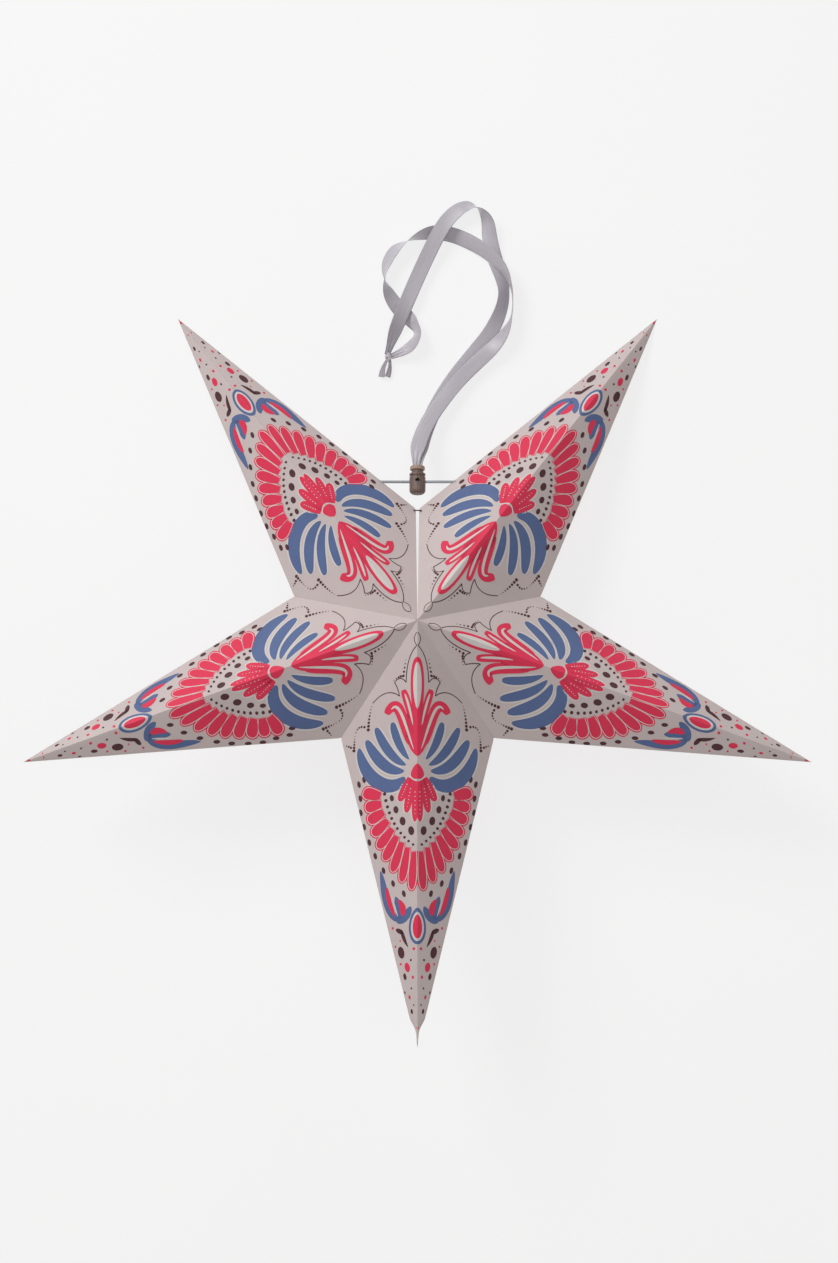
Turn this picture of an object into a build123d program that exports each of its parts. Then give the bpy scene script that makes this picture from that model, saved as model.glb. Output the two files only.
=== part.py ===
from build123d import *
from math import asin, atan2, cos, degrees, radians, sin, tan
import os

# Folding five-point paper star lantern, lying on its back beside its ribbon loop.
#
# The star frame has the star's centre at its origin, +Z out of the front and +Y towards the gap
# between the two upper arms. Each arm is a hollow four-sided spike of four flat paper panels that
# meet at two ridges (front and back) and two outline edges. Neighbouring arms meet at valleys.
# The arms are numbered clockwise from the open slit at the top, seen from the front. On each
# panel, ccw and cw say which side of the arm's ridge it lies on, seen from the front.
# The whole star is then tilted, so that it rests on its back centre and its two upper tips.

# ---- star
TIP_RADIUS = 319.0  # centre to tip
VALLEY_RADIUS = 100.5  # centre to an inner corner of the outline
HALF_DEPTH = 53.0  # centre plane to the front or back centre point
SLIT_WIDTH = 2.8  # open gap between the two upper arms, at the outline
PAPER = 0.4  # thickness of the sheet
CREASE_GAP = 0.05  # from a panel's mitred edge to the plane that halves the crease

# ---- glued flaps, flat on the panels' inner faces
FLAP_WIDTH = 9.0
FLAP_PAPER = 0.25
FLAP_INSET = 3.0  # from the crease to the flap
VALLEY_FLAP_START = 16.0  # from the outline corner
VALLEY_FLAP_END = 26.0  # from the centre point
SEAM_FLAP_START = 16.0  # from the outline corner
SEAM_FLAP_END = 75.0  # from the tip

# ---- hanger: wire bar, wooden stopper, ribbon loop
BAR_DIAMETER = 2.2
BAR_FROM_CORNER = 34.0  # from the outline corner to the bar, along the outline edge
BAR_ENTRY = 3.5  # how far each bar end pokes in past the crease
SLIT_LENGTH = 10.0  # slit for the bar, along the crease
SLIT_HEIGHT = 5.0
STOPPER_BORE_CLEARANCE = 0.05  # radial, bar in stopper
BARREL_DIAMETER = 12.6
BARREL_BELOW_BAR = 10.0
BARREL_ABOVE_BAR = 6.8
BARREL_ROUNDING = 3.2
BARREL_GROOVE = 0.8  # radius of the turned groove
GROOVE_BELOW_TOP = 2.6
NECK_DIAMETER = 9.0
NECK_HEIGHT = 2.4
CAP_DIAMETER = 11.6
CAP_HEIGHT = 3.4
CAP_CHAMFER = 0.9
RIBBON_BORE = 6.4  # along the stopper's own axis
CROSS_HOLE = 3.6  # front to back through the barrel, at the bar
RIBBON_TUBE = 2.0  # plain round stand-in for each satin strand
KNOT_PLACE = (-23.0, 250.0)
KNOT_SIZE = (7.0, 7.0, 5.0)
KNOT_LIFT = 0.3
TAIL_LENGTH = 13.0
TAIL_WIDTH = 5.0
TAIL_THICKNESS = 1.2
TAIL_SPREAD = 11.0  # degrees between the two tails

# ---- thread tie that holds the slit shut
TIE_THREAD = 0.9
TIE_BELOW_CORNER = 2.2
TIE_CLEARANCE = 0.15
TIE_OVERHANG = 1.2
TIE_KNOT = 1.3

# Routes of the two ribbon strands, from the stopper's mouth to the knot, in the placed frame.
STRAND_A = [
    (1.2, 161.5, 24.9), (1.2, 169.5, 20), (3, 181, 11.5), (8, 197, 5.5), (17, 216, 3), (30, 236, 2),
    (45, 254, 2), (58, 270, 3), (66, 286, 5), (69, 300, 6), (67, 313, 5), (61, 329, 4),
    (57, 345, 4), (56, 359, 5), (49, 369, 7), (39, 371, 7), (29, 365, 7), (20, 354, 10),
    (11, 337, 8), (1, 316, 5), (-8, 295, 8), (-15, 278, 7), (-20, 265, 5), (-23.5, 254, 4),
]  # fmt: skip
STRAND_B = [
    (-1.2, 161.5, 24.9), (-1.2, 170.5, 21.8), (1, 182, 15.5), (7, 197, 10), (18, 214, 8),
    (33, 233, 6), (50, 249, 6), (65, 263, 7), (74, 279, 7), (76, 294, 7), (74, 308, 9),
    (67, 321, 11),
    (56, 333, 7), (42, 342, 3), (28, 348, 2), (14, 350, 3), (1, 347, 6), (-11, 341, 7),
    (-20, 334, 6), (-26, 322, 5), (-26, 309, 6), (-21, 297, 4), (-13, 287, 2), (-4, 279, 3),
    (1, 270, 6), (-3, 261, 6), (-11, 255, 4), (-19, 252, 3),
]  # fmt: skip

ARM_COUNT = 5
ARM_NAMES = ["upper_right", "right", "bottom", "left", "upper_left"]
SLIT_ANGLE = degrees(2 * asin(SLIT_WIDTH / 2 / VALLEY_RADIUS))
HALF_ARM = (360 - SLIT_ANGLE) / ARM_COUNT / 2  # half the angle that one arm takes, in degrees
TILT = degrees(atan2(HALF_DEPTH, TIP_RADIUS * cos(radians(HALF_ARM + SLIT_ANGLE / 2))))

# One arm's corners, with its ridge over +X
APEX = Vector(0, 0, HALF_DEPTH)
TIP = Vector(TIP_RADIUS, 0, 0)
CORNER = Vector(VALLEY_RADIUS, 0, 0).rotate(Axis.Z, HALF_ARM)
PANEL_NORMAL = (TIP - APEX).cross(CORNER - APEX).normalized()
EDGE_DIRECTION = (TIP - CORNER).normalized()

# Where the bar crosses an outline edge, in the arm's own frame and in the star frame
BAR_CROSSING = CORNER + EDGE_DIRECTION * BAR_FROM_CORNER
BAR_IN_STAR = BAR_CROSSING.rotate(Axis.Z, 90 - HALF_ARM - SLIT_ANGLE / 2)
BAR_HEIGHT = BAR_IN_STAR.Y
BAR_HALF_LENGTH = abs(BAR_IN_STAR.X) + BAR_ENTRY

# The tilt about X lays the back centre point and the two upper tips on the floor, and the
# shift along Y puts the origin midway between the upper tips and the bottom tip.
UPPER_TIP_Y = TIP_RADIUS * cos(radians(HALF_ARM + SLIT_ANGLE / 2))
STAND = Pos(
    0,
    (TIP_RADIUS - UPPER_TIP_Y) / 2 * cos(radians(TILT)),
    HALF_DEPTH * cos(radians(TILT)),
) * Rot(X=-TILT)


def arm_location(arm):
    """Turn an arm's own frame, ridge over +X, to its place in the star frame."""
    return Rot(Z=90 - (2 * arm + 1) * HALF_ARM - SLIT_ANGLE / 2)


def panel_plane(origin, along):
    """A plane on the outer face of the arm's front ccw panel."""
    return Plane(origin=origin, x_dir=along, z_dir=PANEL_NORMAL)


def front_panel():
    """One flat sheet between the ridge, the outline edge and the valley, mitred at all three."""
    across = 4 * TIP_RADIUS
    sheet = panel_plane(TIP, APEX - TIP) * Box(
        across, across, PAPER, align=(Align.CENTER, Align.CENTER, Align.MAX)
    )
    valley_side = Vector(0, -1, 0).rotate(Axis.Z, HALF_ARM)
    ridge_cut = Plane(origin=(0, CREASE_GAP, 0), z_dir=(0, 1, 0))
    edge_cut = Plane(origin=(0, 0, CREASE_GAP), z_dir=(0, 0, 1))
    valley_cut = Plane(origin=valley_side * CREASE_GAP, z_dir=valley_side)
    for cut in (ridge_cut, edge_cut, valley_cut):
        sheet = split(sheet, bisect_by=cut, keep=Keep.TOP)
    return sheet


def flap(start, end, lead_in, lead_out):
    """A glued strip on the inner face, along the crease from start to end."""
    frame = panel_plane(start, end - start)
    toward_panel = 1 if frame.to_local_coords((APEX + TIP + CORNER) / 3).Y > 0 else -1
    length = (end - start).length
    near = FLAP_INSET * toward_panel
    far = (FLAP_INSET + FLAP_WIDTH) * toward_panel
    outline = Polyline(
        (lead_in, near),
        (length - lead_out, near),
        (length - lead_out - FLAP_WIDTH / 2, far),
        (lead_in + FLAP_WIDTH / 2, far),
        close=True,
    )
    return frame * Pos(Z=-PAPER) * extrude(make_face(outline), -FLAP_PAPER)


def bar_slit():
    """The slit that the bar pokes through, centred on the outline edge."""
    edge_frame = Plane(origin=BAR_CROSSING, x_dir=EDGE_DIRECTION, z_dir=(0, 0, 1))
    return edge_frame * Box(SLIT_LENGTH, SLIT_LENGTH, SLIT_HEIGHT)


def other_side(shape):
    """The same piece on the arm's cw side."""
    return mirror(shape, about=Plane.XZ)


def other_face(shape):
    """The same piece on the star's back."""
    return mirror(shape, about=Plane.XY)


def star_pieces():
    """Every panel and flap, by node name, in the star frame."""
    pieces = {}
    plain = front_panel()
    slotted = plain - bar_slit()
    valley_flap = flap(CORNER, APEX, VALLEY_FLAP_START, VALLEY_FLAP_END)
    seam_flap = other_face(flap(CORNER, TIP, SEAM_FLAP_START, SEAM_FLAP_END))
    for arm, name in enumerate(ARM_NAMES):
        at = arm_location(arm)
        for side in ("ccw", "cw"):
            on_slit = (arm, side) in ((0, "ccw"), (ARM_COUNT - 1, "cw"))
            panel = slotted if on_slit else plain
            if side == "cw":
                panel = other_side(panel)
            pieces[f"{name}_front_{side}"] = at * panel
            pieces[f"{name}_back_{side}"] = at * other_face(panel)
        if arm < ARM_COUNT - 1:
            glued = other_side(valley_flap)
            pieces[f"{name}_front_valley_flap"] = at * glued
            pieces[f"{name}_back_valley_flap"] = at * other_face(glued)
        last = arm == ARM_COUNT - 1
        pieces[f"{name}_seam_flap"] = at * (seam_flap if last else other_side(seam_flap))
    return pieces


def hanging_bar():
    """Straight wire with softened ends, across the gap between the upper arms."""
    wire = Cylinder(BAR_DIAMETER / 2, 2 * BAR_HALF_LENGTH, rotation=(0, 90, 0))
    wire = chamfer(wire.edges().filter_by(GeomType.CIRCLE), BAR_DIAMETER / 8)
    return Pos(0, BAR_HEIGHT, 0) * wire


def stopper_barrel():
    """Turned barrel with a neck, bored for the ribbon, the bar and the view of the bar."""
    barrel = extrude(Plane.XZ * Circle(BARREL_DIAMETER / 2), BARREL_BELOW_BAR)
    barrel += extrude(Plane.XZ * Circle(BARREL_DIAMETER / 2), -BARREL_ABOVE_BAR)
    bottom = barrel.edges().filter_by(GeomType.CIRCLE).sort_by(Axis.Y)[0]
    barrel = fillet(bottom, BARREL_ROUNDING)
    top = barrel.edges().filter_by(GeomType.CIRCLE).sort_by(Axis.Y)[-1]
    barrel = fillet(top, BARREL_GROOVE)
    groove = Torus(BARREL_DIAMETER / 2, BARREL_GROOVE, rotation=(90, 0, 0))
    barrel -= Pos(Y=BARREL_ABOVE_BAR - GROOVE_BELOW_TOP) * groove
    neck = Plane.XZ.offset(-BARREL_ABOVE_BAR) * Circle(NECK_DIAMETER / 2)
    barrel += extrude(neck, -NECK_HEIGHT)
    barrel -= extrude(Plane.XZ * Circle(RIBBON_BORE / 2), -BARREL_ABOVE_BAR - NECK_HEIGHT)
    barrel -= Cylinder(CROSS_HOLE / 2, 2 * BARREL_DIAMETER)
    bore = BAR_DIAMETER / 2 + STOPPER_BORE_CLEARANCE
    barrel -= Cylinder(bore, 2 * BARREL_DIAMETER, rotation=(0, 90, 0))
    return Pos(0, BAR_HEIGHT, 0) * barrel


def stopper_cap():
    """Flat turned bead that sits on the barrel's neck."""
    seat = BARREL_ABOVE_BAR + NECK_HEIGHT
    ring = Circle(CAP_DIAMETER / 2) - Circle(RIBBON_BORE / 2)
    cap = extrude(Plane.XZ.offset(-seat) * ring, -CAP_HEIGHT)
    rims = cap.edges().filter_by(GeomType.CIRCLE).sort_by(SortBy.RADIUS)[-2:]
    return Pos(0, BAR_HEIGHT, 0) * fillet(rims, CAP_CHAMFER)


def slit_tie():
    """Short thread laid across the slit just below the outline corner, with a knot at each end."""
    at_y = VALLEY_RADIUS - TIE_BELOW_CORNER
    reach = SLIT_WIDTH / 2 + TIE_OVERHANG
    slope = PANEL_NORMAL.rotate(Axis.Z, 90 - HALF_ARM - SLIT_ANGLE / 2)
    surface = HALF_DEPTH - ((reach + TIE_KNOT / 2) * slope.X + at_y * slope.Y) / slope.Z
    thread = Cylinder(TIE_THREAD / 2, 2 * reach, rotation=(0, 90, 0))
    knots = [Pos(X=side * reach) * Sphere(TIE_KNOT / 2) for side in (-1, 1)]
    height = surface + (TIE_KNOT / 2 + TIE_CLEARANCE) / slope.Z
    return Pos(0, at_y, height) * (thread + knots)


def strand(points, label):
    """Round tube along straight runs joined by the largest arcs that they allow."""
    at = [Vector(*point) for point in points]
    runs = [after - before for before, after in zip(at, at[1:])]
    radii = [
        0.45 * min(one.length, two.length) / tan(radians(one.get_angle(two) / 2))
        for one, two in zip(runs, runs[1:])
    ]
    path = FilletPolyline(*at, radius=radii)
    section = Plane(origin=path @ 0, z_dir=path % 0) * Circle(RIBBON_TUBE / 2)
    tube = sweep(section, path=path)
    expected = path.length * section.area
    turns = max(one.get_angle(two) for one, two in zip(runs, runs[1:]))
    print(label, "length", round(path.length, 1), "volume ratio", round(tube.volume / expected, 4))
    print(label, "smallest radius", round(min(radii), 1), "largest turn", round(turns, 1))
    return tube


def ribbon_knot():
    """Rounded lump where both strands end, on the floor."""
    height = KNOT_SIZE[2]
    lump = Box(*KNOT_SIZE)
    lump = fillet(lump.edges(), height / 3)
    return Pos(*KNOT_PLACE, height / 2 + KNOT_LIFT) * lump


def ribbon_tails():
    """The two cut ends, flat on the floor beyond the knot."""
    root = Vector(KNOT_PLACE[0] - 1, KNOT_PLACE[1] - KNOT_SIZE[1] / 2, TAIL_THICKNESS)
    tails = {}
    for label, turn in (("a", -TAIL_SPREAD), ("b", TAIL_SPREAD)):
        plate = Box(
            TAIL_WIDTH, TAIL_LENGTH, TAIL_THICKNESS, align=(Align.CENTER, Align.MAX, Align.CENTER)
        )
        shift = TAIL_WIDTH * 0.75 * (1 if turn > 0 else -1)
        tails[f"ribbon_tail_{label}"] = Pos(root + Vector(shift, 0, 0)) * Rot(Z=turn) * plate
    return tails


def main():
    os.makedirs("parts", exist_ok=True)
    in_star = star_pieces()
    in_star["hanging_bar"] = hanging_bar()
    in_star["stopper_barrel"] = stopper_barrel()
    in_star["stopper_cap"] = stopper_cap()
    in_star["slit_tie"] = slit_tie()
    placed = {name: STAND * piece for name, piece in in_star.items()}
    placed["ribbon_strand_a"] = strand(STRAND_A, "strand a")
    placed["ribbon_strand_b"] = strand(STRAND_B, "strand b")
    placed["ribbon_knot"] = ribbon_knot()
    placed.update(ribbon_tails())
    for name, piece in placed.items():
        export_step(piece, f"parts/{name}.step")


if __name__ == "__main__":
    main()
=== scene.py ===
from math import asin, atan2, cos, pi, radians, sin, tan
from types import SimpleNamespace

import bpy
import numpy as np
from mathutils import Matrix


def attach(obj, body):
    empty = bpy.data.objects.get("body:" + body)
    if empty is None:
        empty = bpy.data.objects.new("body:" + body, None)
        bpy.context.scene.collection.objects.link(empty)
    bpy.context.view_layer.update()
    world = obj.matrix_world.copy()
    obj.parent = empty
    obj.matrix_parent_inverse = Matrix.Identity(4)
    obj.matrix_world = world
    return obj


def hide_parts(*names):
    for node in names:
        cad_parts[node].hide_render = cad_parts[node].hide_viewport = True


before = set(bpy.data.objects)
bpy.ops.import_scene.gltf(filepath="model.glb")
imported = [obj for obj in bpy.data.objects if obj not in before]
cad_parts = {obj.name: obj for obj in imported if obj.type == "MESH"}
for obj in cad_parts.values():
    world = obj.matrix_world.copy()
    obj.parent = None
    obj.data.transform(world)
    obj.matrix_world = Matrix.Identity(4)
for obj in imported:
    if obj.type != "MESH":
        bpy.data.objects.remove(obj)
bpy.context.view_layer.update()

bl_info = {
    "name": "Folding paper star",
    "version": (1, 0, 0),
    "blender": (4, 5, 0),
    "location": "View3D > Sidebar > Paper Star",
    "description": "Builds a printed five-point paper star with its bar, stopper and ribbon loop",
    "category": "Object",
}

MM = 0.001
ARM_NAMES = ("upper_right", "right", "bottom", "left", "upper_left")
ARM_COUNT = len(ARM_NAMES)
SIDES = ("ccw", "cw")
FACES = ("front", "back")
INK_NAMES = ("red", "blue", "brown", "pale")

# Each row of a strand's route: x, y, z in metres, and how far the ribbon leans over, in degrees,
# from lying flat.
STRAND_A = np.array([
    (0.0012, 0.1615, 0.0249, 0), (0.0012, 0.1695, 0.020, 2), (0.003, 0.181, 0.0115, 4),
    (0.008, 0.197, 0.0055, 4), (0.017, 0.216, 0.003, 2), (0.030, 0.236, 0.002, 0),
    (0.045, 0.254, 0.002, -4), (0.058, 0.270, 0.003, -14), (0.066, 0.286, 0.005, -36),
    (0.069, 0.300, 0.006, -44), (0.067, 0.313, 0.005, -26), (0.061, 0.329, 0.004, -6),
    (0.057, 0.345, 0.004, 8), (0.056, 0.359, 0.005, 36), (0.049, 0.369, 0.007, 82),
    (0.039, 0.371, 0.007, 138), (0.029, 0.365, 0.007, 160), (0.020, 0.354, 0.010, 172),
    (0.011, 0.337, 0.008, 178), (0.001, 0.316, 0.005, 182), (-0.008, 0.295, 0.008, 184),
    (-0.015, 0.278, 0.007, 196), (-0.020, 0.265, 0.005, 214), (-0.0235, 0.254, 0.004, 222),
])  # fmt: skip
STRAND_B = np.array([
    (-0.0012, 0.1615, 0.0249, 0), (-0.0012, 0.1705, 0.0218, 2), (0.001, 0.182, 0.0155, 6),
    (0.007, 0.197, 0.010, 8), (0.018, 0.214, 0.008, 6), (0.033, 0.233, 0.006, 2),
    (0.050, 0.249, 0.006, 10), (0.065, 0.263, 0.007, 44), (0.074, 0.279, 0.007, 84),
    (0.076, 0.294, 0.007, 90), (0.074, 0.308, 0.009, 84), (0.067, 0.321, 0.011, 50),
    (0.056, 0.333, 0.007, 34), (0.042, 0.342, 0.003, 16), (0.028, 0.348, 0.002, 8),
    (0.014, 0.350, 0.003, 22), (0.001, 0.347, 0.006, 62), (-0.011, 0.341, 0.007, 100),
    (-0.020, 0.334, 0.006, 136), (-0.026, 0.322, 0.005, 132), (-0.026, 0.309, 0.006, 92),
    (-0.021, 0.297, 0.004, 36), (-0.013, 0.287, 0.002, 8), (-0.004, 0.279, 0.003, -24),
    (0.001, 0.270, 0.006, -66), (-0.003, 0.261, 0.006, -58), (-0.011, 0.255, 0.004, -34),
    (-0.019, 0.252, 0.003, -20),
])  # fmt: skip
LENGTH_A = 0.380
LENGTH_B = 0.394
KNOT_CENTRE = np.array((-0.0230, 0.2508, 0.0033))
TUCK = 2  # short steps by which each strand runs on into the knot
RIBBON_STEP = 0.0009  # spacing of the points along the ribbon
LEAN_WINDOW = 15  # points over which the ribbon's lean is smoothed
INK_STEP = 0.00003  # height of one layer of ink
CREASE_CLEARANCE = 0.00002  # least distance of a panel from the planes of its two creases


# ---------------------------------------------------------------- settings


def length(name, default, description):
    """A property that holds a size in metres."""
    return bpy.props.FloatProperty(
        name=name, default=default, min=0.0, unit="LENGTH", description=description
    )


def colour(name, default, description):
    """A property that holds a colour."""
    return bpy.props.FloatVectorProperty(
        name=name, default=default, size=3, min=0.0, max=1.0, subtype="COLOR",
        description=description,
    )  # fmt: skip


class StarSettings(bpy.types.PropertyGroup):
    """Sizes and paper colours of the star."""

    tip_radius: length("Tip radius", 0.319, "Centre to tip")
    valley_radius: length("Valley radius", 0.1005, "Centre to an inner corner of the outline")
    half_depth: length("Half depth", 0.053, "Centre plane to the front or back point")
    slit_width: length("Slit width", 0.0028, "Gap between the two upper arms at the outline")
    paper: length("Paper", 0.00028, "Thickness of the sheet")
    bow: length("Bow", 0.0005, "How far a panel bulges outwards in its middle")
    crease: length("Crease", 0.00012, "How far a folded edge is rounded over")
    pinch: length("Pinched tip", 0.012, "Length that is pressed flat at the bottom arm's tip")
    printed: colour("Printed side", (0.572, 0.492, 0.480), "Ground colour of the print")
    plain: colour("Plain side", (0.66, 0.62, 0.60), "Unprinted inner face")


class PrintSettings(bpy.types.PropertyGroup):
    """Ink colours of the folk pattern."""

    red: colour("Red", (0.72, 0.036, 0.090), "Flowers and fans")
    blue: colour("Blue", (0.098, 0.145, 0.300), "Leaves")
    brown: colour("Brown", (0.085, 0.030, 0.036), "Lines and dots")
    pale: colour("Pale", (0.64, 0.60, 0.57), "Rims and fine lines")


class HangerSettings(bpy.types.PropertyGroup):
    """Sizes and colours of the ribbon, bar and stopper."""

    ribbon_width: length("Ribbon width", 0.012, "Width of the satin ribbon")
    ribbon_thickness: length("Ribbon thickness", 0.00024, "Thickness of the satin ribbon")
    ribbon: colour("Ribbon", (0.475, 0.450, 0.495), "Satin ribbon")
    wire: colour("Wire", (0.40, 0.42, 0.44), "Bar")
    dark_wood: colour("Barrel", (0.165, 0.108, 0.092), "Stopper barrel")
    pale_wood: colour("Cap", (0.37, 0.265, 0.205), "Stopper cap")
    thread: colour("Thread", (0.030, 0.012, 0.010), "Tie across the slit")


# ---------------------------------------------------------------- shared sums


def unit(vectors):
    """Each vector divided by its length."""
    return vectors / np.linalg.norm(vectors, axis=-1, keepdims=True)


def eased(count, inset=0.0):
    """Shares from 0 to 1 that crowd towards both ends: half of one less the cosine of an even
    sweep from inset to pi less inset."""
    return 0.5 - 0.5 * np.cos(np.linspace(inset, pi - inset, count))


def smooth_step(share):
    """Three times the share squared, less twice its cube: level at 0 and at 1."""
    return share * share * (3 - 2 * share)


# ---------------------------------------------------------------- mesh helpers


def grid_quads(rows, columns, start=0):
    """The four-cornered faces of a grid of rows by columns points, numbered row by row."""
    index = np.arange(rows * columns).reshape(rows, columns) + start
    corners = (index[:-1, :-1], index[:-1, 1:], index[1:, 1:], index[1:, :-1])
    return np.stack([c.ravel() for c in corners], axis=1)


def shell(outer, inner):
    """Closed sheet between two grids of one size. Its faces are the outer grid, the inner grid
    turned over, and a rim that joins their borders. Returns points, faces and the rim's start."""
    rows, columns = outer.shape[:2]
    count = rows * columns
    points = np.concatenate([outer.reshape(-1, 3), inner.reshape(-1, 3)])
    top = grid_quads(rows, columns)
    index = np.arange(count).reshape(rows, columns)
    border = np.concatenate(
        [index[0, :-1], index[:-1, -1], index[-1, :0:-1], index[:0:-1, 0]]
    )
    ahead = np.roll(border, -1)
    rim = np.stack([ahead, border, border + count, ahead + count], axis=1)
    return points, np.concatenate([top, top[:, ::-1] + count, rim]), 2 * len(top)


def mesh_object(name, points, faces, materials, slots=None, flat_from=None, uv=None):
    """A new object whose place is in its mesh. slots holds each face's material number, faces
    from flat_from on are flat shaded, and uv holds one place for each point."""
    mesh = bpy.data.meshes.new(name)
    mesh.from_pydata(points.tolist(), [], faces.tolist())
    for material in materials:
        mesh.materials.append(material)
    if slots is not None:
        mesh.polygons.foreach_set("material_index", np.asarray(slots, dtype=np.int32))
    smooth = np.ones(len(faces), dtype=bool)
    smooth[flat_from if flat_from is not None else len(faces) :] = False
    mesh.polygons.foreach_set("use_smooth", smooth)
    if uv is not None:
        layer = mesh.uv_layers.new(name="UVMap")
        corners = np.empty(len(mesh.loops), dtype=np.int32)
        mesh.loops.foreach_get("vertex_index", corners)
        layer.data.foreach_set("uv", uv[corners].astype(np.float32).ravel())
    mesh.update()
    piece = bpy.data.objects.new(name, mesh)
    bpy.context.scene.collection.objects.link(piece)
    return piece


def dress(node, material):
    """Give a CAD node's object a finished material, and leave its mesh alone."""
    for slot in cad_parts[node].material_slots:
        slot.link = "OBJECT"
        slot.material = material


# ---------------------------------------------------------------- material helpers


def new_material(name):
    """A new material, its node tree and its Principled shader."""
    material = bpy.data.materials.new(name)
    material.use_nodes = True
    tree = material.node_tree
    return material, tree, tree.nodes["Principled BSDF"]


def add_node(tree, kind, values=None, **settings):
    """A shader node with its settings and its sockets' values or links."""
    node = tree.nodes.new(kind)
    for key, value in settings.items():
        setattr(node, key, value)
    for key, value in (values or {}).items():
        if isinstance(value, bpy.types.NodeSocket):
            tree.links.new(value, node.inputs[key])
        else:
            node.inputs[key].default_value = value
    return node


def noise(tree, vector, scale, detail=3.0, rough=0.55):
    """Noise read at the given coordinates."""
    return add_node(
        tree, "ShaderNodeTexNoise",
        {"Vector": vector, "Scale": scale, "Detail": detail, "Roughness": rough},
    ).outputs["Fac"]  # fmt: skip


def ramp(tree, factor, low, high, dark, light):
    """A colour that goes from dark to light as factor goes from low to high."""
    node = add_node(tree, "ShaderNodeValToRGB", {"Fac": factor})
    first, last = node.color_ramp.elements
    first.position, last.position = low, high
    first.color, last.color = (*dark, 1.0), (*light, 1.0)
    return node.outputs["Color"]


def shade(rgb, gain):
    """A colour made darker or lighter by a gain."""
    return tuple(min(1.0, channel * gain) for channel in rgb)


def bump(tree, shader, height, strength, distance):
    """Relief from a height, on the shader's own normal."""
    node = add_node(
        tree, "ShaderNodeBump", {"Height": height, "Strength": strength, "Distance": distance}
    )
    tree.links.new(node.outputs["Normal"], shader.inputs["Normal"])


def span(tree, value, low, high):
    """Map a value between 0 and 1 to the range from low to high."""
    return add_node(
        tree, "ShaderNodeMapRange", {"Value": value, "To Min": low, "To Max": high}
    ).outputs["Result"]  # fmt: skip


def calculate(tree, operation, first, second):
    """The result of one sum on two values."""
    return add_node(
        tree, "ShaderNodeMath", {0: first, 1: second}, operation=operation
    ).outputs[0]  # fmt: skip


def average(tree, first, second):
    """Half of two values added together."""
    return calculate(tree, "MULTIPLY", calculate(tree, "ADD", first, second), 0.5)


def object_place(tree):
    """The piece's own coordinates."""
    return add_node(tree, "ShaderNodeTexCoord").outputs["Object"]


def stretched(tree, place, scale):
    """Coordinates multiplied by a scale for each axis."""
    return add_node(
        tree, "ShaderNodeMapping", {"Vector": place, "Scale": scale}
    ).outputs["Vector"]  # fmt: skip


def paper_material(name, rgb, roughness, mottle):
    """Uncoated card: cloudy tone, short fibres and a fine tooth."""
    material, tree, shader = new_material(name)
    place = object_place(tree)
    clouds = noise(tree, place, 38.0, 4.0)
    fibres = noise(tree, place, 900.0, 5.0, 0.7)
    tone = average(tree, clouds, fibres)
    body = ramp(tree, tone, 0.35, 0.65, shade(rgb, 1.0 - mottle), shade(rgb, 1.0 + mottle))
    tree.links.new(body, shader.inputs["Base Color"])
    sheen = span(tree, fibres, roughness - 0.06, roughness + 0.06)
    tree.links.new(sheen, shader.inputs["Roughness"])
    shader.inputs["Specular IOR Level"].default_value = 0.28
    bump(tree, shader, fibres, 0.22, 0.00006)
    return material


def ribbon_material(rgb):
    """Satin: fine ribs across the ribbon, a firm selvedge, a soft band of light along it, and a
    painted highlight: slow clouds of lighter and darker colour in its base colour.
    """
    material, tree, shader = new_material("satin_ribbon")
    place = add_node(tree, "ShaderNodeUVMap", uv_map="UVMap").outputs["UV"]
    apart = add_node(tree, "ShaderNodeSeparateXYZ", {"Vector": place})
    ribs = add_node(
        tree, "ShaderNodeTexWave",
        {"Vector": place, "Scale": 420.0, "Distortion": 1.5, "Detail": 2.0, "Detail Scale": 2.0},
        bands_direction="X",
    ).outputs["Fac"]  # fmt: skip
    threads = noise(tree, stretched(tree, place, (30.0, 2600.0, 1.0)), 1.0)
    # Painted highlight: slow noise that lightens and darkens the base colour, standing in for the
    # satin's streaks of light.
    painted_sheen = noise(tree, place, 34.0, 1.0)
    tone = average(tree, threads, painted_sheen)
    # The base colour mixes the real thread tone with the painted highlight.
    body = ramp(tree, tone, 0.3, 0.7, shade(rgb, 0.80), shade(rgb, 1.22))
    from_middle = calculate(tree, "SUBTRACT", apart.outputs["Y"], 0.5)
    from_middle = calculate(tree, "ABSOLUTE", from_middle, 0.0)
    selvedge = add_node(
        tree, "ShaderNodeMapRange", {"Value": from_middle, "From Min": 0.44, "From Max": 0.48}
    ).outputs["Result"]
    mix = add_node(
        tree, "ShaderNodeMix", {"Factor": selvedge, 6: body, 7: (*shade(rgb, 0.80), 1.0)},
        data_type="RGBA",
    )  # fmt: skip
    tree.links.new(mix.outputs[2], shader.inputs["Base Color"])
    tree.links.new(span(tree, threads, 0.30, 0.46), shader.inputs["Roughness"])
    shader.inputs["Anisotropic"].default_value = 0.65
    shader.inputs["Sheen Weight"].default_value = 0.35
    shader.inputs["Specular IOR Level"].default_value = 0.55
    bump(tree, shader, calculate(tree, "ADD", ribs, threads), 0.35, 0.00006)
    return material


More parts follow.
